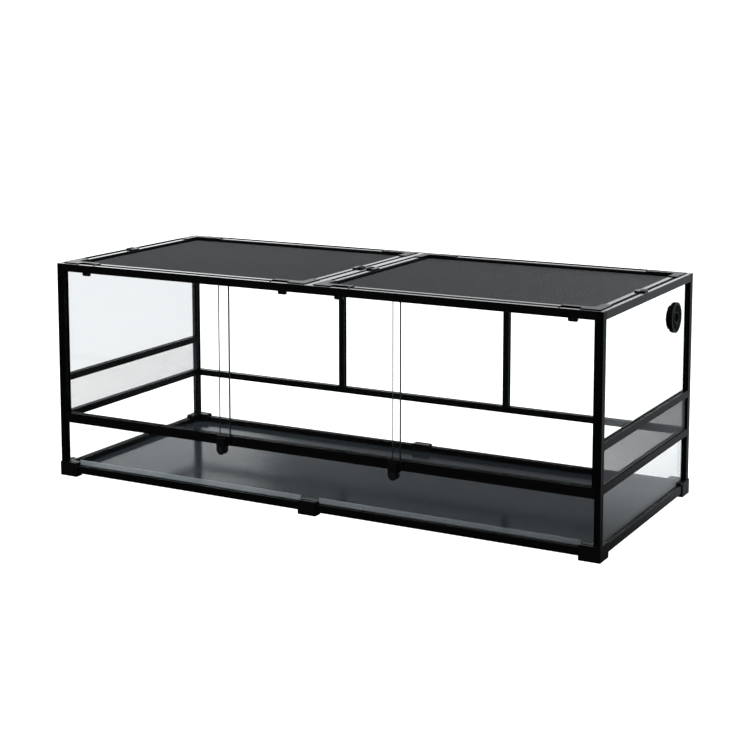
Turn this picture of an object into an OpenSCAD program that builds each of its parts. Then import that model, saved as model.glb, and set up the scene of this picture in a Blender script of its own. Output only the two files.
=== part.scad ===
// Knock-down glass terrarium: slotted profiles, three sliding doors, two lift-off mesh lids.
// Origin: middle of the footprint on the floor. +X runs along the front, left to right,
// +Y runs from the front to the back, +Z is up. Front view faces +Y.

/* [Tank] */
// Width over the frame, left to right
tank_w = 1200; // [900:10:1500]
// Depth over the frame, front to back
tank_d = 500; // [400:10:600]
// Height from the floor to the top of the lip
tank_h = 450; // [420:10:600]
// Thickness of every fixed pane and door
glass_t = 4; // [3:0.5:4]

/* [Base] */
// Height of the foot blocks
foot_h = 29; // [27:1:34]
// Length of a foot block along each side
foot_l = 40; // [30:1:60]
// How far the foot blocks stand proud of the frame
foot_proud = 2; // [1:0.5:4]
// Underside of the base rails
base_low = 8; // [6:0.5:9]
// Height of the base rails
base_h = 16; // [14:0.5:17]
// Thickness of the floor panel
floor_t = 3; // [2:0.5:4]
// Height of the clear strip over the front base rail
strip_h = 9.5; // [5:0.5:20]

/* [Frame] */
// Width of a post seen from the front
post_w = 12; // [11:0.5:16]
// Depth of a post, and of the front, top and base rails
rail_d = 15; // [15:0.5:20]
// Depth of the slim rails at the back and sides
slim_d = 13; // [12:0.5:15]
// Height of the slim rails
slim_h = 14; // [12:0.5:18]
// Underside of the lower slim rails
low_rail_z = 121; // [110:1:150]
// Underside of the upper slim rails at the sides
vent_rail_z = 200; // [180:1:240]
// Height of the top rails
top_h = 16; // [16:0.5:20]
// Width of the lip round the lids
lip_w = 8; // [7.5:0.5:8.5]
// Height of the lip above the ledge that carries the lids
lip_h = 8; // [8:0.5:9]
// Distance of each back mullion from the middle
mullion_x = 200; // [150:5:250]

/* [Doors] */
// Top of the door sill
sill_top = 135; // [125:1:155]
// Height of the door sill
sill_h = 20; // [18:0.5:24]
// Width of a door track
track_w = 4.5; // [4.5:0.1:4.8]
// Depth of the tracks in the sill
track_dep = 4; // [3:0.5:5]
// Overlap of two neighbouring doors
door_lap = 20; // [12:1:30]
// Distance of each door overlap from the middle
door_split = 192; // [150:1:230]
// How far the end posts' door jambs reach in
jamb_w = 5; // [4:0.5:6]

/* [Locks] */
// Width of a lock
lock_w = 20; // [18:0.5:26]
// How far a lock stands proud of the sill
lock_proud = 11; // [10:0.5:14]
// Radius of the turning plug
plug_r = 6.5; // [5:0.1:6.5]

/* [Lids] */
// Width of a lid's side rails
lid_side_w = 18; // [16:0.5:24]
// Width of a lid's front rail
lid_front_w = 24; // [20:0.5:28]
// Width of a lid's back rail
lid_back_w = 20; // [20:0.5:26]
// Width of the flat ridge along the inner edge of a lid rail
lid_ridge = 11; // [9:0.5:13]
// Thickness of the mesh sheet
mesh_t = 0.6; // [0.4:0.1:0.6]
// Width of the bar between the lids
bar_w = 15; // [15:1:20]
// Distance of the hooks from the middle of a lid
hook_x = 237; // [150:1:240]
// Width of a hook
hook_w = 19; // [12:1:24]
// Length of a corner piece along the side rail
corner_y = 60; // [45:1:90]
// Place of the latches, measured back from the middle of the side rails
latch_y = -12; // [-100:1:100]
// Travel of a lid latch
latch_travel = 5; // [4:0.5:5]

/* [Cable port] */
// Distance of the port behind the middle
port_y = 143; // [60:1:160]
// Height of the port's centre
port_z = 377; // [300:1:385]
// Radius of the turning cap
port_r = 30; // [28:1:34]
// Radius of the cable hole
cable_r = 10; // [6:0.5:12]

/* [Hidden] */
$fn = 64;

// Shared planes and clearances. Distances named _in run inwards from the outer face.
half_w = tank_w / 2;
half_d = tank_d / 2;
rail_gap = 0.25;
front_in = 3;
side_in = 5.5;
slot_dep = 5;
pane_seat = 0.5;
base_top = base_low + base_h;
base_ledge_t = 1.5;
base_ledge_w = 10;
floor_z = base_low + base_ledge_t;
strip_in = 11.2;
strip_t = 2;
strip_seat = 4;
top_low = tank_h - top_h;
ledge_z = tank_h - lip_h;
post_x = half_w - post_w;
foot_wall = 2;
foot_in = rail_d + foot_wall;
track_a = 2;
track_b = track_a + track_w + 2;
top_web = 1.3;
jamb_seat = 0.5;
sill_low = sill_top - sill_h;

// Lids, with rails flush with the lip round them and corner pieces that stand a little over it
lid_h = lip_h;
lid_edge_h = lid_h / 2;
lid_chamfer = 1.5;
lid_gap = 2;
lid_x0 = bar_w / 2 + lid_gap;
lid_x1 = half_w - lip_w - lid_gap;
lid_y = half_d - lip_w - lid_gap;
lid_lx = lid_x1 - lid_x0;
lid_ly = 2 * lid_y;
hook_edge = 25;
hook_gap = 0.3;
hook_t = 3.2;
hook_r = 3;
hook_drop = 17;
corner_x = lid_lx / 2 - hook_x + hook_edge;
corner_h = lid_h + 1.5;
corner_r = 3;
corner_fillet = 8;
recess_x = 38;
recess_dep = 3.9;
recess_wall = 2;
mesh_z = 0.7;
mesh_seat = 5;
mesh_slot = mesh_t + 0.2;

// Lid latches: a dovetail slides in a seat of the side rail, and its tongue goes into the lip
latch_half = 12;
latch_bevel = 2;
latch_seat = 5;
latch_slack = 0.25;
latch_l = 14;
latch_stop = 3.3;
latch_plate_t = 2.2;
latch_plate_half = 14.5;
knob_x0 = -6;
knob_x1 = 4;
knob_t = 3;
knob_half = 11;
knob_rib = 0.5;
tongue_t = 2;
tongue_half = 8;
pad_half = 17;
latch_slot_dep = latch_travel + 1;
latch_slot_half = tongue_half + 1;
latch_slot_h = tongue_t + 2 * latch_slack;
latch_slot_z = ledge_z + lid_h - latch_seat;

// Colours
black = "#121214";
soft_black = "#1c1c1f";
dark_grey = "#3a3e40";
wire_grey = "#4a4a4c";
silver = "#b9bdc2";
clear = [0.82, 0.92, 0.9, 0.35];

// Extrude a profile drawn as [distance in, height] along one side of the tank
module along_front(x0, x1) {
    translate([x0, -half_d, 0]) rotate([90, 0, 90]) linear_extrude(x1 - x0) children();
}
module along_back(x0, x1) {
    mirror([0, 1, 0]) along_front(x0, x1) children();
}
module along_right(y0, y1) {
    translate([half_w, y1, 0]) mirror([1, 0, 0]) rotate([90, 0, 0]) linear_extrude(y1 - y0) children();
}
// A box given by its low and high corners
module block(lo, hi) {
    translate(lo) cube(hi - lo);
}
// A rectangle given by its low and high corners
module plate(lo, hi) {
    translate(lo) square(hi - lo);
}
// A rectangle with round corners, given by its low and high corners
module rounded_plate(lo, hi, r) {
    plate([lo[0] + r, lo[1]], [hi[0] - r, hi[1]]);
    plate([lo[0], lo[1] + r], [hi[0], hi[1] - r]);
    for (x = [lo[0] + r, hi[0] - r], y = [lo[1] + r, hi[1] - r]) translate([x, y]) circle(r = r, $fn = 32);
}
// The same shape in the four corners, drawn for the one at -X, -Y
module at_corner(right, back) {
    mirror([right ? 1 : 0, 0, 0]) mirror([0, back ? 1 : 0, 0]) children();
}

// Profiles
module pane_slot(inset, z0, z1) {
    plate([inset - rail_gap, z0], [inset + glass_t + rail_gap, z1]);
}
module base_profile(inset) {
    difference() {
        plate([0, base_low], [rail_d, base_top]);
        pane_slot(inset, base_top - slot_dep, base_top + 1);
        plate([strip_in - 0.2, base_top - strip_seat], [strip_in + strip_t + 0.2, base_top + 1]);
    }
}
module base_ledge_profile() {
    plate([rail_d - 0.01, base_low], [rail_d + base_ledge_w, floor_z]);
}
module slim_profile(inset, z0) {
    difference() {
        plate([0, z0], [slim_d, z0 + slim_h]);
        pane_slot(inset, z0 - 1, z0 + slot_dep);
        pane_slot(inset, z0 + slim_h - slot_dep, z0 + slim_h + 1);
    }
}
module top_profile() {
    difference() {
        plate([0, top_low], [rail_d, tank_h]);
        plate([lip_w, ledge_z], [rail_d + 1, tank_h + 1]);
    }
}
module door_tracks(z0, z1) {
    for (inset = [track_a, track_b]) plate([inset, z0], [inset + track_w, z1]);
}

// Foot block: an angle that holds one post and the ends of two base rails
foot_r = 1.5;
foot_bevel = 3;
module foot_end_bevel() {
    translate([0, foot_in + 1, foot_h]) rotate([90, 0, 0]) linear_extrude(foot_in + foot_proud + 2)
        polygon([[-foot_bevel, 0.5], [0.5, 0.5], [0.5, -foot_bevel]]);
}
module foot(right, back) {
    color(soft_black) at_corner(right, back) translate([-half_w, -half_d, 0]) difference() {
        union() {
            linear_extrude(foot_h) {
                plate([foot_r - foot_proud, -foot_proud], [foot_l, foot_in]);
                plate([-foot_proud, foot_r - foot_proud], [foot_in, foot_l]);
            }
            translate([foot_r - foot_proud, foot_r - foot_proud, 0]) cylinder(h = foot_h, r = foot_r);
        }
        block([0, 0, base_low], [post_w, rail_d, foot_h + 1]);
        block([post_w - 1, 0, base_low], [foot_l + 1, rail_d, base_top]);
        block([0, rail_d - 1, base_low], [rail_d, foot_l + 1, base_top]);
        block([post_w - 1, front_in - rail_gap, base_top - 1],
              [foot_l + 1, front_in + glass_t + rail_gap, foot_h + 1]);
        block([side_in - rail_gap, rail_d - 1, base_top - 1],
              [side_in + glass_t + rail_gap, foot_l + 1, foot_h + 1]);
        // bevel on the upper ends of the two arms
        translate([foot_l, 0, 0]) foot_end_bevel();
        mirror([1, -1, 0]) translate([foot_l, 0, 0]) foot_end_bevel();
    }
}

// Base rails, each with a slot for a low pane and a ledge for the floor
module base_rail_long(right, back) {
    color(black) at_corner(right, back) {
        along_front(-post_x, 0) base_profile(front_in);
        along_front(foot_l - half_w, -foot_l / 2) base_ledge_profile();
    }
}
module base_rail_short() {
    along_right(rail_d - half_d, half_d - rail_d) base_profile(side_in);
    along_right(foot_l - half_d, half_d - foot_l) base_ledge_profile();
}
module base_rail_left() {
    color(black) mirror([1, 0, 0]) base_rail_short();
}
module base_rail_right() {
    color(black) base_rail_short();
}
// Sleeves that join the long base rails in the middle, front and back
module base_connectors() {
    color(soft_black) for (back = [false, true]) at_corner(false, back) difference() {
        along_front(-foot_l / 2, foot_l / 2) plate([-foot_proud, 0], [foot_in, foot_h - 1]);
        along_front(-foot_l, foot_l) plate([0, base_low], [rail_d, base_top]);
        along_front(-foot_l, foot_l) pane_slot(front_in, base_top - 1, foot_h + 1);
    }
}

module floor_panel() {
    edge = rail_d + 0.5;
    color(dark_grey) translate([0, 0, floor_z]) linear_extrude(floor_t) difference() {
        plate([edge - half_w, edge - half_d], [half_w - edge, half_d - edge]);
        for (right = [false, true], back = [false, true]) at_corner(right, back) {
            plate([-half_w, -half_d], [foot_l + 0.5 - half_w, foot_in + 0.5 - half_d]);
            plate([-half_w, -half_d], [foot_in + 0.5 - half_w, foot_l + 0.5 - half_d]);
            plate([-foot_l / 2 - 0.5, -half_d], [1, foot_in + 0.5 - half_d]);
        }
    }
}
// Clear strip in the second groove of the front base rails: it keeps bedding off the low pane
module front_strip() {
    x_end = half_w - foot_l - 1;
    color(clear) for (right = [false, true]) at_corner(right, false)
        along_front(-x_end, -foot_l / 2 - 1)
            plate([strip_in, base_top - strip_seat + 0.3], [strip_in + strip_t, base_top + strip_h]);
}

// Posts: slotted on both inner faces, rebated at the top for the lids
post_slot_x = 6;
post_slot_y = 9;
module post_slots(front_slot) {
    if (front_slot)
        plate([post_slot_x, front_in - rail_gap], [post_w + 1, front_in + glass_t + rail_gap]);
    plate([side_in - rail_gap, post_slot_y], [side_in + glass_t + rail_gap, rail_d + 1]);
}
module post_profile(front_slot) {
    difference() {
        square([post_w, rail_d]);
        post_slots(front_slot);
    }
}
// The front posts are wider above the sill, where a jamb takes the edge of the end door
module jamb_profile() {
    difference() {
        plate([post_w, 0], [post_w + jamb_w, rail_d]);
        plate([post_w + jamb_seat, track_b], [post_w + jamb_w + 1, track_b + track_w]);
    }
}
module post(right, back) {
    slots_top = back ? top_low : sill_top;
    color(black) at_corner(right, back) translate([-half_w, -half_d, 0]) {
        translate([0, 0, base_low]) linear_extrude(slots_top - base_low) post_profile(true);
        if (!back)
            translate([0, 0, sill_top]) linear_extrude(top_low - sill_top) {
                post_profile(false);
                jamb_profile();
            }
        // head, with the slots for the panes that reach up into the top rails
        difference() {
            block([0, 0, top_low], [post_w, rail_d, tank_h]);
            block([lip_w, lip_w, ledge_z], [post_w + 1, rail_d + 1, tank_h + 1]);
            translate([0, 0, top_low - 1]) linear_extrude(slot_dep - pane_seat + 1) post_slots(back);
        }
    }
}

// Top rails and the bar between the lids
module top_rail_front() {
    color(black) along_front(-post_x, post_x) difference() {
        top_profile();
        door_tracks(top_low - 1, ledge_z - top_web);
    }
}
module top_rail_back() {
    color(black) along_back(-post_x, post_x) difference() {
        top_profile();
        pane_slot(front_in, top_low - 1, top_low + slot_dep - pane_seat);
    }
}
module top_rail_side() {
    difference() {
        along_right(rail_d - half_d, half_d - rail_d) difference() {
            top_profile();
            pane_slot(side_in, top_low - 1, top_low + slot_dep - pane_seat);
        }
        // slot in the lip for the tongue of the lid's latch
        along_right(latch_y - latch_slot_half, latch_y + latch_slot_half)
            plate([lip_w - latch_slot_dep, latch_slot_z], [lip_w + 1, latch_slot_z + latch_slot_h]);
    }
}
module top_rail_left() {
    color(black) mirror([1, 0, 0]) top_rail_side();
}
module top_rail_right() {
    color(black) top_rail_side();
}
module lid_bar() {
    foot_half = bar_w / 2 + 8.5;
    color(black) difference() {
        union() {
            block([-foot_half, rail_d - half_d, top_low], [foot_half, half_d - rail_d, ledge_z]);
            block([-bar_w / 2, lip_w - half_d, ledge_z], [bar_w / 2, half_d - lip_w, tank_h]);
        }
        for (s = [-1, 1]) translate([s * bar_w / 2, latch_y, latch_slot_z + latch_slot_h / 2])
            cube([2 * latch_slot_dep, 2 * latch_slot_half, latch_slot_h], center = true);
    }
}

// Door sill: two tracks above, a pane slot below
module door_sill() {
    color(black) along_front(-post_x, post_x) difference() {
        plate([0, sill_low], [rail_d, sill_top]);
        door_tracks(sill_top - track_dep, sill_top + 1);
        pane_slot(front_in, sill_low - 1, sill_low + slot_dep + pane_seat);
    }
}
module back_mid_rail() {
    color(black) along_back(-post_x, post_x) slim_profile(front_in, low_rail_z);
}
mullion_slot = 4;
module back_mullions() {
    z0 = low_rail_z + slim_h;
    color(black) for (s = [-1, 1]) translate([s * mullion_x, half_d - slim_d, z0])
        linear_extrude(top_low - z0) difference() {
            plate([-slim_d / 2, 0], [slim_d / 2, slim_d]);
            for (m = [-1, 1]) translate([m * slim_d / 2, slim_d - front_in - glass_t / 2])
                square([2 * mullion_slot, glass_t + 2 * rail_gap], center = true);
        }
}
module side_rail(z0) {
    along_right(rail_d - half_d, half_d - rail_d) slim_profile(side_in, z0);
}
module side_low_rail_left() {
    color(black) mirror([1, 0, 0]) side_rail(low_rail_z);
}
module side_low_rail_right() {
    color(black) side_rail(low_rail_z);
}
module side_vent_rail_left() {
    color(black) mirror([1, 0, 0]) side_rail(vent_rail_z);
}
module side_vent_rail_right() {
    color(black) side_rail(vent_rail_z);
}

// Fixed panes, each seated in the slots round it
module pane_profile(inset, z0, z1) {
    plate([inset, z0], [inset + glass_t, z1]);
}
low_pane_z0 = base_top - slot_dep + pane_seat;
pane_x = half_w - post_slot_x - pane_seat;
pane_y = half_d - post_slot_y - pane_seat;
top_pane_z1 = top_low + slot_dep - 2 * pane_seat;
module glass_front_low() {
    color(clear) along_front(-pane_x, pane_x)
        pane_profile(front_in, low_pane_z0, sill_low + slot_dep);
}
module glass_back_low() {
    color(clear) along_back(-pane_x, pane_x)
        pane_profile(front_in, low_pane_z0, low_rail_z + slot_dep - pane_seat);
}
module back_pane(x0, x1) {
    color(clear) along_back(x0, x1)
        pane_profile(front_in, low_rail_z + slim_h - slot_dep + pane_seat, top_pane_z1);
}
module side_low_pane() {
    color(clear) along_right(-pane_y, pane_y)
        pane_profile(side_in, low_pane_z0, low_rail_z + slot_dep - pane_seat);
}
module side_top_pane() {
    color(clear) along_right(-pane_y, pane_y)
        pane_profile(side_in, vent_rail_z + slim_h - slot_dep + pane_seat, top_pane_z1);
}
mullion_seat = slim_d / 2 - mullion_slot + pane_seat;
module glass_back_left() {
    back_pane(-pane_x, -mullion_x - mullion_seat);
}
module glass_back_middle() {
    back_pane(-mullion_x + mullion_seat, mullion_x - mullion_seat);
}
module glass_back_right() {
    back_pane(mullion_x + mullion_seat, pane_x);
}
module glass_left_low() {
    mirror([1, 0, 0]) side_low_pane();
}
module glass_right_low() {
    side_low_pane();
}
module glass_left_top() {
    mirror([1, 0, 0]) side_top_pane();
}
// The right pane has the hole for the cable port
module glass_right_top() {
    color(clear) difference() {
        side_top_pane();
        port_axis(half_w - 20, half_w) circle(r = port_hole_r);
    }
}

// Side vents: a mesh sheet in a slim frame
module vent() {
    z0 = low_rail_z + slim_h - slot_dep + pane_seat;
    z1 = vent_rail_z + slot_dep - pane_seat;
    rim = 7;
    mid = side_in + glass_t / 2;
    along_right(-pane_y, pane_y) plate([mid - mesh_t, z0 + 1], [mid + mesh_t, z1 - 1]);
    difference() {
        along_right(-pane_y, pane_y) pane_profile(side_in, z0, z1);
        along_right(rim - pane_y, pane_y - rim) plate([0, z0 + rim], [slim_d, z1 - rim]);
    }
}
module vent_left() {
    color(silver) mirror([1, 0, 0]) vent();
}
module vent_right() {
    color(silver) vent();
}

// Cable port: flange outside, nut inside, and a cap that turns on the flange's hub
port_hole_r = port_r - 10;
sleeve_r = port_hole_r - 0.3;
sleeve_wall = 3;
hub_r = port_r - 8;
hub_fit = 0.05;
flange_x0 = half_w - side_in;
flange_x1 = flange_x0 + 2;
hub_x1 = flange_x1 + 3;
nut_x1 = flange_x0 - glass_t;
nut_t = 2;
cap_x0 = flange_x1 + 0.3;
cap_web_x = hub_x1 + 0.3;
cap_dish_x = cap_web_x + 1.6;
cap_x1 = cap_dish_x + 1.8;
dish_r = port_r - 4.5;
grip_count = 36;
fin_count = 18;
fin_t = 1;
fin_bend = 14;
module port_axis(x0, x1) {
    translate([x0, port_y, port_z]) rotate([90, 0, 90]) linear_extrude(x1 - x0) children();
}
module port_flange() {
    color(soft_black) difference() {
        union() {
            port_axis(flange_x0, flange_x1) circle(r = port_r - 0.5);
            port_axis(nut_x1 - nut_t - 0.5, flange_x1) circle(r = sleeve_r);
            port_axis(flange_x0, hub_x1) circle(r = hub_r);
        }
        port_axis(nut_x1 - nut_t - 1, hub_x1 + 1) circle(r = sleeve_r - sleeve_wall);
    }
}
module port_nut() {
    color(soft_black) port_axis(nut_x1 - nut_t, nut_x1) difference() {
        union() {
            circle(r = port_hole_r + 3);
            for (i = [0:5]) rotate(i * 60) translate([port_hole_r + 2.5, 0]) circle(r = 2, $fn = 32);
        }
        circle(r = sleeve_r + 0.05);
    }
}
module cap_fin() {
    // one swept fin: a thin arc from the cable hole to the rim of the dish
    intersection() {
        difference() {
            circle(r = dish_r + 0.5);
            circle(r = cable_r + 1.5);
        }
        translate([0, fin_bend]) difference() {
            circle(r = fin_bend + fin_t);
            circle(r = fin_bend);
            translate([-20, -20]) square([20, 40]);
        }
    }
}
module port_cap() {
    color(black) {
        difference() {
            union() {
                port_axis(cap_x0, cap_x1) difference() {
                    circle(r = port_r);
                    for (i = [0:grip_count - 1]) rotate((i + 0.5) * 360 / grip_count)
                        translate([port_r + 1, 0]) circle(r = 1.6, $fn = 16);
                }
                // thumb piece
                port_axis(cap_x0 + 1, cap_x1 - 1) translate([port_r - 2, 0]) square([9, 5], center = true);
            }
            port_axis(cap_x0 - 1, cap_web_x) circle(r = hub_r + hub_fit);
            port_axis(cap_web_x - 1, cap_dish_x + 1) circle(r = cable_r);
            port_axis(cap_dish_x, cap_x1 + 1) circle(r = dish_r);
        }
        port_axis(cap_dish_x - 0.3, cap_x1 - 0.4) {
            for (i = [0:fin_count - 1]) rotate(i * 360 / fin_count) cap_fin();
            difference() {
                circle(r = cable_r + 2);
                circle(r = cable_r);
            }
        }
    }
}

// Sliding doors: the middle one runs in the front track, the other two in the rear track
door_z0 = sill_top - track_dep + 0.2;
door_z1 = top_low + 2;
door_end = half_w - post_w - 1;
module door(u, x0, x1) {
    color(clear) along_front(x0, x1) plate([u + rail_gap, door_z0], [u + rail_gap + glass_t, door_z1]);
}
module door_left() {
    door(track_b, -door_end, -door_split + door_lap / 2);
}
module door_middle() {
    door(track_a, -door_split - door_lap / 2, door_split + door_lap / 2);
}
module door_right() {
    door(track_b, door_split - door_lap / 2, door_end);
}

// Locks: a round-ended housing on the sill below each overlap, with a turning plug
lock_z = sill_low - 8;
lock_r = lock_w / 2;
lock_edge = 1;
lock_drop = 4.5;
plate_t = 4;
plug_fit = 0.05;
plug_l = 8;
key_slot = [1.4, 7];
module lock_axis(y0, y1) {
    translate([0, y1, 0]) rotate([90, 0, 0]) linear_extrude(y1 - y0) children();
}
// Straight over the sill, round below it
module lock_outline(inset) {
    r = lock_r - inset;
    plate([-r, lock_z], [r, sill_top - lock_drop - inset]);
    translate([0, lock_z]) circle(r = r);
}
module lock(x) {
    front = -half_d - lock_proud;
    color(soft_black) translate([x, 0, 0]) difference() {
        union() {
            // housing with a stepped front edge
            lock_axis(front + lock_edge, -half_d) lock_outline(0);
            lock_axis(front, -half_d) lock_outline(lock_edge);
            // the round end reaches back to the low pane, which stands behind the sill's face
            lock_axis(-half_d - 0.01, front_in - half_d - 0.3) intersection() {
                translate([0, lock_z]) circle(r = lock_r);
                plate([-lock_w, 0], [lock_w, sill_low]);
            }
            // backing plate, wider on the right, with one corner cut off
            lock_axis(-half_d - plate_t, -half_d) polygon([
                [-lock_r - 3, sill_low - 2], [lock_r + 2, sill_low - 2], [lock_r + 8, sill_low + 4],
                [lock_r + 8, sill_top - 1], [-lock_r - 3, sill_top - 1]
            ]);
        }
        lock_axis(front - 1, front + plug_l + 0.3) translate([0, lock_z]) circle(r = plug_r + plug_fit);
    }
}
module lock_plug(x) {
    front = -half_d - lock_proud;
    color(silver) translate([x, 0, lock_z]) difference() {
        lock_axis(front - 0.5, front + plug_l) circle(r = plug_r);
        lock_axis(front - 1, front + 2.5) square(key_slot, center = true);
    }
}

// Lids, drawn for the right-hand one
module lid_place() {
    translate([lid_x0, -lid_y, ledge_z]) children();
}
// Rail profile, from the outer edge inwards: a slope, a flat ridge with a chamfered inner edge,
// and a slot low in the inner wall that holds the mesh
module lid_rail_profile(w) {
    difference() {
        polygon([
            [0, 0], [w, 0], [w, lid_h - lid_chamfer], [w - lid_chamfer, lid_h],
            [w - lid_ridge, lid_h], [0, lid_edge_h]
        ]);
        plate([w - mesh_seat, mesh_z], [w + 1, mesh_z + mesh_slot]);
    }
}
// Dovetail seat of a latch, as a profile in [y, z] about the latch's middle
module latch_seat_profile() {
    polygon([
        [-latch_half, lid_h - latch_seat], [latch_half, lid_h - latch_seat],
        [latch_half - latch_bevel, lid_h + 0.01], [latch_bevel - latch_half, lid_h + 0.01]
    ]);
}
module lid_cross_rail(w) {
    translate([corner_x, 0, 0]) rotate([90, 0, 90])
        linear_extrude(lid_lx - 2 * corner_x) lid_rail_profile(w);
}
module lid_side_rail() {
    middle = lid_ly / 2 + latch_y;
    difference() {
        union() {
            translate([0, lid_ly - corner_y, 0]) rotate([90, 0, 0])
                linear_extrude(lid_ly - 2 * corner_y) lid_rail_profile(lid_side_w);
            // pad of full height round the latch
            block([0, middle - pad_half, 0], [lid_side_w - mesh_seat, middle + pad_half, lid_h]);
        }
        translate([-1, middle, 0]) rotate([90, 0, 90])
            linear_extrude(latch_l + latch_slack + 1) latch_seat_profile();
    }
}
module lid_rails() {
    color(soft_black) lid_place() {
        lid_cross_rail(lid_front_w);
        translate([0, lid_ly, 0]) mirror([0, 1, 0]) lid_cross_rail(lid_back_w);
        lid_side_rail();
        translate([lid_lx, 0, 0]) mirror([1, 0, 0]) lid_side_rail();
    }
}
// Corner piece: an elbow with a ridge along the inner edge, a finger recess outside the ridge,
// and a hook that hangs down behind the top rail
module lid_corner(w) {
    hook_at = corner_x - hook_edge;
    hook_y = rail_d - lip_w - lid_gap + hook_gap;
    difference() {
        linear_extrude(corner_h) {
            plate([corner_r, 0], [corner_x, w]);
            plate([0, corner_r], [lid_side_w, corner_y]);
            translate([corner_r, corner_r]) circle(r = corner_r, $fn = 32);
            translate([lid_side_w, w]) difference() {
                square(corner_fillet);
                translate([corner_fillet, corner_fillet]) circle(r = corner_fillet);
            }
        }
        translate([lid_side_w - mesh_seat, w - mesh_seat, mesh_z])
            cube([corner_x, corner_y, mesh_slot]);
        block([recess_x, -1, corner_h - recess_dep],
              [corner_x - recess_wall, w - lid_ridge, corner_h + 1]);
    }
    translate([hook_at, hook_y, 0]) rotate([-90, 0, 0]) linear_extrude(hook_t)
        rounded_plate([-hook_w / 2, -hook_r - 0.5], [hook_w / 2, hook_drop], hook_r);
}
module lid_corners() {
    color(soft_black) lid_place() for (right = [0, 1]) {
        translate([right * lid_lx, 0, 0]) mirror([right, 0, 0]) lid_corner(lid_front_w);
        translate([right * lid_lx, lid_ly, 0]) mirror([right, 0, 0]) mirror([0, 1, 0])
            lid_corner(lid_back_w);
    }
}
module lid_mesh() {
    edge = mesh_seat - 0.5;
    color(wire_grey) lid_place() translate([0, 0, mesh_z + 0.1]) linear_extrude(mesh_t)
        plate([lid_side_w - edge, lid_front_w - edge],
              [lid_lx - lid_side_w + edge, lid_ly - lid_back_w + edge]);
}
// Sliding latch, drawn open, for a rail whose outer edge is at x = 0 and whose outside is +X
module latch() {
    z0 = lid_h + 0.1;
    foot_z = lid_h - latch_seat + latch_slack;
    foot = latch_half - latch_slack;
    neck = foot - latch_bevel;
    color(soft_black) translate([0, latch_y, ledge_z]) {
        translate([-latch_l, 0, 0]) rotate([90, 0, 90]) linear_extrude(latch_l - latch_stop) polygon([
            [-foot, foot_z], [foot, foot_z], [neck, lid_h], [neck, z0 + 0.1], [-neck, z0 + 0.1],
            [-neck, lid_h]
        ]);
        block([-latch_stop - 1, -tongue_half, foot_z], [lid_gap / 2, tongue_half, foot_z + tongue_t]);
        translate([0, 0, z0]) {
            linear_extrude(latch_plate_t)
                rounded_plate([-latch_l - 2, -latch_plate_half], [-lid_chamfer, latch_plate_half], 5);
            linear_extrude(knob_t) rounded_plate([knob_x0, -knob_half], [knob_x1, knob_half], 2);
        }
        // three grip ribs on the knob
        translate([0, 0, z0 + knob_t - 0.01]) for (i = [-1:1])
            translate([(knob_x0 + knob_x1) / 2 + 3 * i, 0, 0]) rotate([90, 0, 0])
                linear_extrude(2 * knob_half - 4, center = true)
                    polygon([[-0.7, 0], [0.7, 0], [0, knob_rib]]);
    }
}

foot(false, false);  // foot_front_left
foot(true, false);  // foot_front_right
foot(false, true);  // foot_back_left
foot(true, true);  // foot_back_right
base_rail_long(false, false);  // base_rail_front_left
base_rail_long(true, false);  // base_rail_front_right
base_rail_long(false, true);  // base_rail_back_left
base_rail_long(true, true);  // base_rail_back_right
base_rail_left();
base_rail_right();
base_connectors();
floor_panel();
front_strip();
post(false, false);  // post_front_left
post(true, false);  // post_front_right
post(false, true);  // post_back_left
post(true, true);  // post_back_right
top_rail_front();
top_rail_back();
top_rail_left();
top_rail_right();
lid_bar();
door_sill();
back_mid_rail();
back_mullions();
side_low_rail_left();
side_low_rail_right();
side_vent_rail_left();
side_vent_rail_right();
glass_front_low();
glass_back_low();
glass_back_left();
glass_back_middle();
glass_back_right();
glass_left_low();
glass_right_low();
glass_left_top();
glass_right_top();
vent_left();
vent_right();
port_flange();
port_nut();
port_cap();
door_left();
door_middle();
door_right();
lock(-door_split);  // lock_left
lock(door_split);  // lock_right
lock_plug(-door_split);  // lock_plug_left
lock_plug(door_split);  // lock_plug_right
mirror([1, 0, 0]) lid_rails();  // lid_left_rails
mirror([1, 0, 0]) lid_corners();  // lid_left_corners
mirror([1, 0, 0]) lid_mesh();  // lid_left_mesh
translate([-lid_x1, 0, 0]) mirror([1, 0, 0]) latch();  // lid_left_outer_latch
translate([-lid_x0, 0, 0]) latch();  // lid_left_inner_latch
lid_rails();  // lid_right_rails
lid_corners();  // lid_right_corners
lid_mesh();  // lid_right_mesh
translate([lid_x0, 0, 0]) mirror([1, 0, 0]) latch();  // lid_right_inner_latch
translate([lid_x1, 0, 0]) latch();  // lid_right_outer_latch
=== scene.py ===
"""The looks of a long glass terrarium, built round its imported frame. Metres, +Z up."""

import math

import bmesh
import bpy
from mathutils import Matrix, Vector


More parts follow.
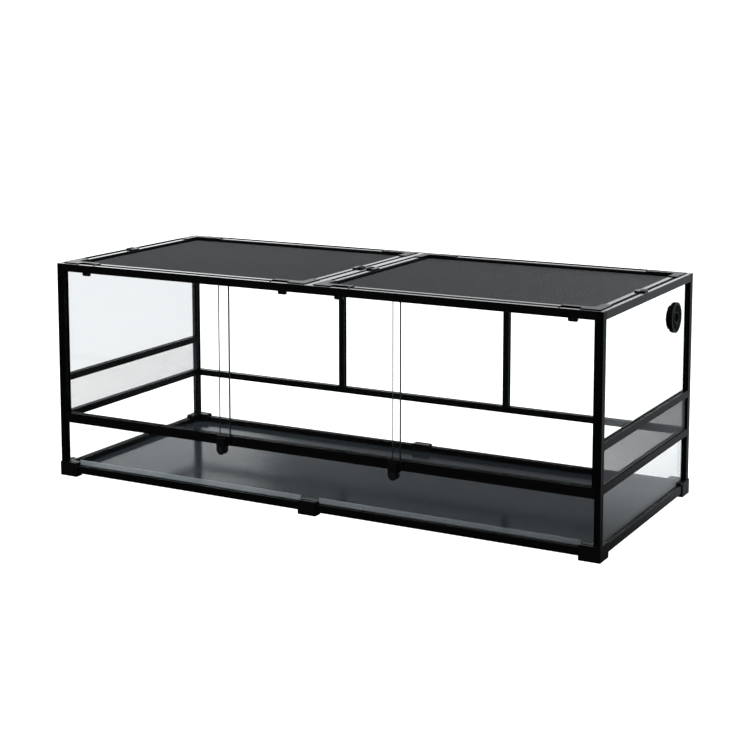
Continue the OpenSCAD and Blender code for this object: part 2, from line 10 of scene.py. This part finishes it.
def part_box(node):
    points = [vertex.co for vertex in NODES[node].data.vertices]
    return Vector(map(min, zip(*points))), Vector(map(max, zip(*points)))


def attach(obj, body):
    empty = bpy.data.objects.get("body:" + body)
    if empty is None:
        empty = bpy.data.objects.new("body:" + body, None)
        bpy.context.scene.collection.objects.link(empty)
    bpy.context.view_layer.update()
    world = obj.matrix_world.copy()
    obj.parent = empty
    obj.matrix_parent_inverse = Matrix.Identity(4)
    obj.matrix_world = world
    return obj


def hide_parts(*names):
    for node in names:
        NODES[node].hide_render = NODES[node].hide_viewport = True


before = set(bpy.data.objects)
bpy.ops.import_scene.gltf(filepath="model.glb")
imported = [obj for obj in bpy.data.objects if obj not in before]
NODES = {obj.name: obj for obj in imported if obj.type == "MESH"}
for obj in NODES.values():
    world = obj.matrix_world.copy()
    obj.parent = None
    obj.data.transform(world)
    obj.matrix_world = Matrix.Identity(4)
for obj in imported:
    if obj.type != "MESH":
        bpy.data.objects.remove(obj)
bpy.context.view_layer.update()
MM = 0.001

# Woven wire: distance from wire to wire, radius and sides of a wire, and the vents' rim
LID_PITCH = 1.6 * MM
LID_RADIUS = 0.2 * MM
VENT_PITCH = 2.0 * MM
VENT_RADIUS = 0.275 * MM
WIRE_SIDES = 4
VENT_RIM = 5 * MM
# Distance of each layer of wires from the sheet's middle, in wire radii
LAYER_GAP = 0.9

# Rounds on the frame's edges, and the ground band along the right edge of a door
PROFILE_ROUND = 0.4 * MM
MOULDED_ROUND = 0.5 * MM
ARRIS = 1.2 * MM

# Specular level of the black plastic, for most of the frame and mouldings, and then for the
# uprights and side rails, the far top rails, the lids' rails and the cable port. It is one
# plastic throughout: the lower levels are painted shade, set part by part to keep faces darker
FRAME_SHEEN = 0.12
SIDE_SHADE_SHEEN = 0.04
FAR_SHADE_SHEEN = 0.0
LID_SHADE_SHEEN = 0.08
PORT_SHADE_SHEEN = 0.05
# Specular level of the locks' key plugs
PLUG_SHEEN = 0.5

# Glass: the tint of each face, the colour of the edges and how strongly the sides mirror. All
# panes are one glass: the upper left pane's darker tint is painted shade, and the side panes'
# mirror levels are painted reflection, stronger on the low and upper left panes, weaker upper right
FRONT_TINT = (0.988, 0.993, 0.991, 1.0)
SIDE_TINT = (0.985, 0.99, 0.99, 1.0)
SHADED_PANE_TINT = (0.755, 0.763, 0.77, 1.0)
PANE_EDGE = (0.02, 0.07, 0.055, 1.0)
DOOR_EDGE = (0.01, 0.024, 0.02, 1.0)
SIDE_PAINTED_MIRROR = 2.1
CLEAR_PAINTED_MIRROR = 0.6
# Least part of a face's normal along an axis for the face to count as looking along it
SQUARE_ON = 0.7
# Part of a left-looking edge that stays clear, because light comes through it
LIT_EDGE = 0.65


class Value:
    """A material socket as a Python value: each operator adds the Math node that it needs."""

    def __init__(self, material, socket):
        self.material = material
        self.socket = socket

    def math(self, operation, first, second):
        return self.material.node("Math", {0: first, 1: second}, operation=operation)

    def __add__(self, other):
        return self.math("ADD", self, other)

    def __radd__(self, other):
        return self.math("ADD", other, self)

    def __sub__(self, other):
        return self.math("SUBTRACT", self, other)

    def __rsub__(self, other):
        return self.math("SUBTRACT", other, self)

    def __mul__(self, other):
        return self.math("MULTIPLY", self, other)

    def __rmul__(self, other):
        return self.math("MULTIPLY", other, self)

    def __pow__(self, other):
        return self.math("POWER", self, other)

    def __gt__(self, other):
        return self.math("GREATER_THAN", self, other)

    def __abs__(self):
        return self.math("ABSOLUTE", self, 0.0)


class Material:
    """A node material that is written as expressions."""

    def __init__(self, name):
        self.start(bpy.data.materials.new(name))

    def start(self, made):
        """Takes a new material or world and empties its nodes."""
        self.made = made
        self.made.use_nodes = True
        self.tree = self.made.node_tree
        self.tree.nodes.clear()

    def node(self, kind, inputs=None, output=0, **settings):
        """Adds a node of any kind: its settings first, then the values or links of its sockets."""
        made = self.tree.nodes.new("ShaderNode" + kind)
        for name, value in settings.items():
            setattr(made, name, value)
        for name, value in (inputs or {}).items():
            if isinstance(value, Value):
                self.tree.links.new(value.socket, made.inputs[name])
            else:
                made.inputs[name].default_value = value
        return Value(self, made.outputs[output]) if made.outputs else None

    def part(self, vector, axis):
        """One axis of a vector."""
        return self.node("SeparateXYZ", {0: vector}, output=axis)

    def place(self, stretch=(1.0, 1.0, 1.0)):
        """Object coordinates, scaled along each axis."""
        spot = self.node("TexCoord", output="Object")
        return self.node("Mapping", {"Vector": spot, "Scale": stretch})

    def noise(self, scale, detail, stretch=(1.0, 1.0, 1.0)):
        """Smooth noise from 0 to 1, about scale patches to the metre."""
        return self.node("TexNoise", {"Vector": self.place(stretch), "Scale": scale, "Detail": detail})

    def slope(self, value, low, high):
        """0 below low, 1 above high, smooth between."""
        return self.node("MapRange", {0: value, 1: low, 2: high}, interpolation_type="SMOOTHSTEP")

    def mix(self, factor, first, second):
        """A blend of two colours."""
        inputs = {0: factor, 6: first, 7: second}
        return self.node("Mix", inputs, output=2, data_type="RGBA")

    def bump(self, height, distance):
        """Normals that are tilted as if the height stood that far proud."""
        return self.node("Bump", {"Height": height, "Distance": distance})

    def facing(self, axis):
        """1 on faces that look along that axis, either way, and 0 elsewhere."""
        normal = self.node("NewGeometry", output="Normal")
        return abs(self.part(normal, axis)) > SQUARE_ON

    def facing_left(self):
        """1 on faces that look along -X, and 0 elsewhere."""
        normal = self.node("NewGeometry", output="Normal")
        return (0.0 - self.part(normal, "X")) > SQUARE_ON

    def principled(self, **inputs):
        names = {name.replace("_", " ").title().replace("Ior", "IOR"): v for name, v in inputs.items()}
        return self.node("BsdfPrincipled", names)

    def finish(self, shader):
        self.node("OutputMaterial", {"Surface": shader})
        return self.made


class Sky(Material):
    """The world's nodes, written the same way."""

    def __init__(self, name):
        self.start(bpy.data.worlds.new(name))

    def finish(self, shader):
        self.node("OutputWorld", {"Surface": shader})
        return self.made


def grey(value):
    return (value, value, value, 1.0)


def shade(colour, times):
    """A colour made darker or lighter, at full alpha."""
    return tuple(min(1.0, times * part) for part in colour[:3]) + (1.0,)


def extruded_plastic(name, along, base=0.0022, gloss=0.1, sheen=FRAME_SHEEN):
    """Near-black extruded profile: faint draw lines run along the given axis. base is how
    light it is, gloss its least roughness and sheen its specular level."""
    skin = Material(name)
    long_way = 0.6
    cross_way = 260.0
    lines = skin.noise(1.0, 2.0, tuple(long_way if axis == along else cross_way for axis in "XYZ"))
    cloud = skin.noise(9.0, 2.0)
    return skin.finish(skin.principled(
        base_color=skin.mix(cloud, grey(base), grey(base * 1.8)),
        roughness=gloss + lines * 0.06 + cloud * 0.05,
        specular_ior_level=sheen,
        normal=skin.bump(lines, 0.02 * MM)))


def moulded_plastic(name, base=0.003, gloss=0.26, grain=0.06 * MM, sheen=FRAME_SHEEN):
    """Near-black injection moulding with a fine spark-eroded grain."""
    skin = Material(name)
    fine = skin.noise(2200.0, 2.0)
    cloud = skin.noise(40.0, 2.0)
    return skin.finish(skin.principled(
        base_color=skin.mix(cloud, grey(base), grey(base * 1.6)),
        roughness=gloss + fine * 0.12 + cloud * 0.05,
        specular_ior_level=sheen,
        normal=skin.bump(fine, grain)))


def floor_board(name):
    """Dark grey floor panel: a glossy sheet, faintly rippled. Its colour runs from lighter at the left
    to darker at the right: painted light and shade.
    """
    skin = Material(name)
    cloud = skin.noise(3.0, 3.0)
    ripple = skin.noise(14.0, 2.0, (0.5, 1.0, 1.0))
    # painted light and shade: the base colour fades from lighter at the left to darker at the right
    painted_light_fade = skin.slope(skin.part(skin.place(), "X") + cloud * 0.1, -0.6, 0.4)
    return skin.finish(skin.principled(
        base_color=skin.mix(painted_light_fade, (0.032, 0.04, 0.047, 1.0), (0.016, 0.021, 0.025, 1.0)),
        roughness=0.09 + cloud * 0.05,
        specular_ior_level=0.13,
        normal=skin.bump(ripple, 0.12 * MM)))


def pane(name, tint, edge_axes, edge_colour, mirror=1.0, arris_at=None):
    """Clear sheet. Its faces let light straight through, and mirror more at a glancing angle.
    Its edges look along edge_axes and show the green of the glass. arris_at is the X of an
    edge whose corners are ground."""
    skin = Material(name)
    glance = skin.node("LayerWeight", {"Blend": 0.5}, output="Facing")
    smudge = skin.noise(5.0, 3.0)
    # mirror scales the reflection: levels other than 1, given for the side panes, are painted reflection
    share = (0.008 + 0.99 * glance ** 5.0) * mirror * (0.94 + 0.12 * smudge)
    clear = skin.node("BsdfTransparent", {"Color": tint})
    shine = skin.node("BsdfAnisotropic", {"Color": grey(1.0), "Roughness": 0.0})
    face = skin.node("MixShader", {0: share, 1: clear, 2: shine})
    grind = skin.noise(600.0, 2.0)
    edge = skin.principled(
        base_color=skin.mix(grind, edge_colour, shade(edge_colour, 0.7)),
        roughness=0.18 + grind * 0.2,
        specular_ior_level=0.08)
    rim = skin.facing(edge_axes[0]) + skin.facing(edge_axes[1])
    rim = rim * (1.0 - LIT_EDGE * skin.facing_left())
    if arris_at is not None:
        from_edge = abs(skin.part(skin.place(), "X") - arris_at)
        rim = rim + (1.0 - (from_edge > ARRIS))
    return skin.finish(skin.node("MixShader", {0: rim, 1: face, 2: edge}))


def painted_light_strip(name):
    """Clear plastic strip with a milky white share, which thins out towards the right: painted light,
    a pale band that stands in for light falling along the floor's front edge.
    """
    skin = Material(name)
    milk_tone = skin.noise(30.0, 3.0, (0.3, 1.0, 1.0))
    painted_light_fade = skin.slope(skin.part(skin.place(), "X"), -0.6, 0.6)
    clear = skin.node("BsdfTransparent", {"Color": grey(0.96)})
    milk = skin.principled(
        base_color=skin.mix(milk_tone, (0.8, 0.87, 0.92, 1.0), (0.9, 0.96, 1.0, 1.0)),
        roughness=0.25 + milk_tone * 0.1,
        specular_ior_level=0.5)
    # painted light: the milky share, strongest at the left, lightens the strip like a band of light
    return skin.finish(skin.node("MixShader", {0: 0.45 - 0.3 * painted_light_fade, 1: clear, 2: milk}))


def wire(name, colour, metallic, rough):
    """Fine drawn wire, slightly uneven in tone from one strand to the next."""
    skin = Material(name)
    tone = skin.noise(160.0, 2.0)
    return skin.finish(skin.principled(
        base_color=skin.mix(tone, shade(colour, 0.75), shade(colour, 1.15)),
        metallic=metallic,
        roughness=rough + tone * 0.1,
        specular_ior_level=0.4))


def pale_floor(name):
    """White studio floor. It is seen white, and throws back little light, so that black stays
    black. What it throws back is brighter behind the tank, where the panes mirror it."""
    skin = Material(name)
    cloud = skin.noise(1.5, 2.0)
    seen = skin.principled(
        base_color=skin.mix(cloud, grey(0.2), grey(0.24)),
        roughness=0.8,
        specular_ior_level=0.1,
        emission_color=grey(1.0),
        emission_strength=1.3)
    lit = skin.slope(skin.part(skin.place(), "Y"), -0.3, 0.7)
    thrown = skin.principled(
        base_color=grey(0.07),
        roughness=0.8,
        specular_ior_level=0.0,
        emission_color=skin.mix(lit, grey(0.0), (0.42, 0.455, 0.485, 1.0)),
        emission_strength=1.0)
    camera = skin.node("LightPath", output="Is Camera Ray")
    return skin.finish(skin.node("MixShader", {0: camera, 1: thrown, 2: seen}))


def new_object(name, mesh, material):
    """Turns a bmesh into an object with a material."""
    data = bpy.data.meshes.new(name)
    mesh.to_mesh(data)
    mesh.free()
    made = bpy.data.objects.new(name, data)
    bpy.context.scene.collection.objects.link(made)
    made.data.materials.append(material)
    return made


def loose_piece(name, mesh, material, body):
    """A new piece that rides on a body."""
    made = new_object(name, mesh, material)
    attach(made, body)
    return made


def rod(mesh, start, end, radius):
    """A straight bar between two points."""
    axis = end - start
    turn = axis.to_track_quat("Z", "Y").to_matrix().to_4x4()
    place = Matrix.Translation((start + end) / 2) @ turn
    bmesh.ops.create_cone(
        mesh, cap_ends=True, segments=WIRE_SIDES, radius1=radius, radius2=radius,
        depth=axis.length, matrix=place)


def woven_sheet(low, high, across, pitch, radius):
    """Two layers of straight wires that touch, over the box from low to high. across is the
    axis that the sheet is thin along."""
    mesh = bmesh.new()
    runs = [axis for axis in range(3) if axis != across]
    middle = (low[across] + high[across]) / 2
    for side, (along, step) in ((-1, runs), (1, runs[::-1])):
        count = int((high[step] - low[step]) / pitch)
        for turn in range(count):
            start = Vector((0.0, 0.0, 0.0))
            start[across] = middle + side * radius * LAYER_GAP
            start[step] = low[step] + (turn + 0.5) * (high[step] - low[step]) / count
            end = start.copy()
            start[along] = low[along]
            end[along] = high[along]
            rod(mesh, start, end, radius)
    return mesh


def open_frame(low, high, rim):
    """A flat rectangular frame across X, with an open middle."""
    size = high - low
    mesh = bmesh.new()
    bmesh.ops.create_grid(mesh, x_segments=1, y_segments=1, size=0.5)
    bmesh.ops.scale(mesh, vec=(size.z, size.y, 1.0), verts=mesh.verts)
    bmesh.ops.rotate(mesh, matrix=Matrix.Rotation(math.pi / 2, 3, "Y"), verts=mesh.verts)
    bmesh.ops.inset_region(mesh, faces=mesh.faces[:], thickness=rim, use_boundary=True)
    middle = min(mesh.faces, key=lambda face: face.calc_center_median().length)
    bmesh.ops.delete(mesh, geom=[middle], context="FACES")
    grown = bmesh.ops.extrude_face_region(mesh, geom=mesh.faces[:])["geom"]
    far = [part for part in grown if isinstance(part, bmesh.types.BMVert)]
    bmesh.ops.translate(mesh, vec=(size.x, 0.0, 0.0), verts=far)
    bmesh.ops.translate(mesh, vec=(low.x, (low.y + high.y) / 2, (low.z + high.z) / 2), verts=mesh.verts)
    bmesh.ops.recalc_face_normals(mesh, faces=mesh.faces)
    return mesh


def starting(*words):
    """The CAD nodes whose names start with any of the words."""
    return [name for name in NODES if name.startswith(words)]


def ending(word):
    """The CAD nodes whose names end with the word."""
    return [name for name in NODES if name.endswith(word)]


def dress(names, material):
    """Gives CAD nodes a material."""
    for name in names:
        for slot in NODES[name].material_slots:
            slot.material = material


def soften(names, width):
    """A small round on every sharp edge of CAD nodes."""
    for name in names:
        weld = NODES[name].modifiers.new("weld", "WELD")
        weld.merge_threshold = 0.01 * MM
        bevel = NODES[name].modifiers.new("round", "BEVEL")
        bevel.width = width
        bevel.segments = 2
        bevel.limit_method = "ANGLE"
        bevel.angle_limit = math.radians(40)
        bevel.harden_normals = True


def dress_profiles():
    """The frame's rails and posts. The far top rails get the same plastic with no shine at all:
    painted shade, so that their lips stay dark. The uprights and side rails get it with less shine:
    painted shade too.
    """
    wide = starting("base_rail_front", "base_rail_back", "top_rail_front", "door_sill", "back_mid_rail")
    deep = starting("base_rail_left", "base_rail_right", "top_rail_right", "lid_bar")
    far = ["top_rail_back", "top_rail_left"]
    side = starting("side_")
    upright = starting("post_", "back_mullions")
    dress(wide, extruded_plastic("profile_along_x", "X"))
    dress(deep, extruded_plastic("profile_along_y", "Y"))
    # painted shade: the far top rails' plastic has no shine, so that their lips stay dark
    dress(far, extruded_plastic("far_top_rail", "X", base=0.004, gloss=0.3, sheen=FAR_SHADE_SHEEN))
    # painted shade: side rails and uprights have less shine than the frame, so their faces stay dark
    dress(side, extruded_plastic("side_rail", "Y", sheen=SIDE_SHADE_SHEEN))
    dress(upright, extruded_plastic("profile_along_z", "Z", sheen=SIDE_SHADE_SHEEN))
    soften(wide + deep + far + side + upright, PROFILE_ROUND)


def dress_mouldings():
    """Foot blocks, base connectors and the lids' corners, and the lids' rails between them."""
    blocks = starting("foot_", "base_connectors") + ending("_corners")
    lid_rails = ["lid_left_rails", "lid_right_rails"]
    dress(blocks, moulded_plastic("moulded_corner"))
    # painted shade: the lids' rails have less shine than the frame, which dims their highlights
    dress(lid_rails, extruded_plastic("lid_rail", "X", base=0.004, sheen=LID_SHADE_SHEEN))
    soften(blocks + lid_rails, MOULDED_ROUND)


def dress_fittings():
    """Latches, locks with their key plugs, and the cable port."""
    dress(ending("_latch"), moulded_plastic("latch_moulding", base=0.004, gloss=0.2))
    dress(["lock_left", "lock_right"], moulded_plastic("lock_moulding", base=0.0035, gloss=0.22))
    dress(starting("lock_plug"), moulded_plastic(
        "key_plug", base=0.004, gloss=0.18, grain=0.02 * MM, sheen=PLUG_SHEEN))
    # painted shade: the cable port has less shine than the other mouldings, so its face stays dark
    dress(starting("port_"), moulded_plastic("port_moulding", base=0.0035, sheen=PORT_SHADE_SHEEN))


def dress_glass():
    """Fixed panes and doors. The upper left pane is a little greyer than the others: painted shade on
    the same glass. The side panes mirror more strongly than the front glass, and the upper right
    pane more weakly: painted reflection.
    """
    dress(starting("glass_front", "glass_back"), pane("front_glass", FRONT_TINT, "XZ", PANE_EDGE))
    # painted reflection: the low side panes mirror about twice as strongly as the front glass
    dress(["glass_left_low", "glass_right_low"],
          pane("side_glass", SIDE_TINT, "YZ", PANE_EDGE, mirror=SIDE_PAINTED_MIRROR))
    # painted reflection: the upper right pane mirrors less strongly than the front glass
    dress(["glass_right_top"], pane("clear_side_glass", SIDE_TINT, "YZ", PANE_EDGE, mirror=CLEAR_PAINTED_MIRROR))
    # painted shade: the upper left pane is tinted darker than the others; its strong mirroring is
    # painted reflection
    dress(["glass_left_top"], pane("shaded_side_glass", SHADED_PANE_TINT, "YZ", PANE_EDGE, mirror=SIDE_PAINTED_MIRROR))
    for door in starting("door_left", "door_middle", "door_right"):
        right_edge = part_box(door)[1][0]
        dress([door], pane(f"{door}_glass", FRONT_TINT, "XZ", DOOR_EDGE, arris_at=right_edge))


def dress_floor():
    """The floor panel, and the clear strip that stands behind the low front pane."""
    dress(["floor_panel"], floor_board("floor_board"))
    # painted light: the clear strip's milky share stands in for a band of light along the floor
    dress(["front_strip"], painted_light_strip("clear_strip"))


def weave_lids():
    """Real wires in place of each lid's thin sheet."""
    lid_wire = wire("lid_wire", (0.08, 0.079, 0.082), metallic=0.3, rough=0.35)
    for side in ("left", "right"):
        low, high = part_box(f"lid_{side}_mesh")
        sheet = woven_sheet(low, high, 2, LID_PITCH, LID_RADIUS)
        wires = loose_piece(f"lid_{side}_wires", sheet, lid_wire, f"lid_{side}")
        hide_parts(f"lid_{side}_mesh")


def weave_vents():
    """Woven wire in a slim metal rim in place of each side vent's thin sheet."""
    vent_wire = wire("vent_wire", (0.32, 0.325, 0.35), metallic=0.7, rough=0.3)
    for side in ("left", "right"):
        low, high = (Vector(corner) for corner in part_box(f"vent_{side}"))
        margin = Vector((0.0, VENT_RIM / 2, VENT_RIM / 2))
        sheet = woven_sheet(low + margin, high - margin, 0, VENT_PITCH, VENT_RADIUS)
        wires = loose_piece(f"vent_{side}_wires", sheet, vent_wire, "root")
        loose_piece(f"vent_{side}_rim", open_frame(low, high, VENT_RIM), vent_wire, "root")
        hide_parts(f"vent_{side}")


def make_camera():
    """The photograph's camera: right of the front and half a metre above the lids, turned to the
    left and a little down. Its axis meets the picture at axis_px from the top, which is above the
    middle, and the shift makes up the rest."""
    image_px = 750.0
    focus_px = 1652.9
    axis_px = 225.0
    heading = -0.4971
    pitch = 0.1258
    data = bpy.data.cameras.new("camera")
    data.sensor_width = 36.0
    data.lens = focus_px * data.sensor_width / image_px
    data.shift_y = (axis_px - image_px / 2) / image_px
    made = bpy.data.objects.new("camera", data)
    made.location = Vector((1595.2, -2913.9, 957.9)) * MM
    made.rotation_euler = (math.pi / 2 - pitch, 0.0, -heading)
    bpy.context.scene.collection.objects.link(made)
    bpy.context.scene.camera = made


def make_stage():
    """A pale floor that runs out of sight."""
    mesh = bmesh.new()
    bmesh.ops.create_grid(mesh, x_segments=1, y_segments=1, size=60.0)
    new_object("stage_floor", mesh, pale_floor("stage_floor"))


def make_world():
    """A white backdrop behind the tank, a wide soft light overhead, a screen far to the left and
    a dark room behind the camera. The backdrop is low, so that it lights the lids' edges and
    not the floor panel. Seen directly, all of it is white."""
    sky = Sky("studio")
    direction = sky.node("TexCoord", output="Generated")
    across = sky.part(direction, "X")
    deep = sky.part(direction, "Y")
    height = sky.part(direction, "Z")
    behind = sky.slope(deep, 0.0, 0.3)
    overhead = sky.slope(height, 0.55, 0.85) * 2.4
    backdrop = behind * (1.0 - sky.slope(height, 0.18, 0.24)) * 2.0
    side_screen = sky.slope(0.0 - across, 0.505, 0.53) * (1.0 - sky.slope(height, 0.35, 0.45)) * 0.9
    level = 0.02 + behind * 0.16 + backdrop + side_screen + overhead
    light = sky.node("Background", {"Color": (0.97, 1.0, 1.02, 1.0), "Strength": level})
    seen = sky.node("Background", {"Color": grey(1.0), "Strength": 1.55})
    camera = sky.node("LightPath", output="Is Camera Ray")
    bpy.context.scene.world = sky.finish(sky.node("MixShader", {0: camera, 1: light, 2: seen}))


make_camera()
dress_profiles()
dress_mouldings()
dress_fittings()
dress_glass()
dress_floor()
weave_lids()
weave_vents()
make_stage()
make_world()
bpy.context.scene.view_settings.view_transform = "Standard"
bpy.context.scene.cycles.transparent_max_bounces = 24
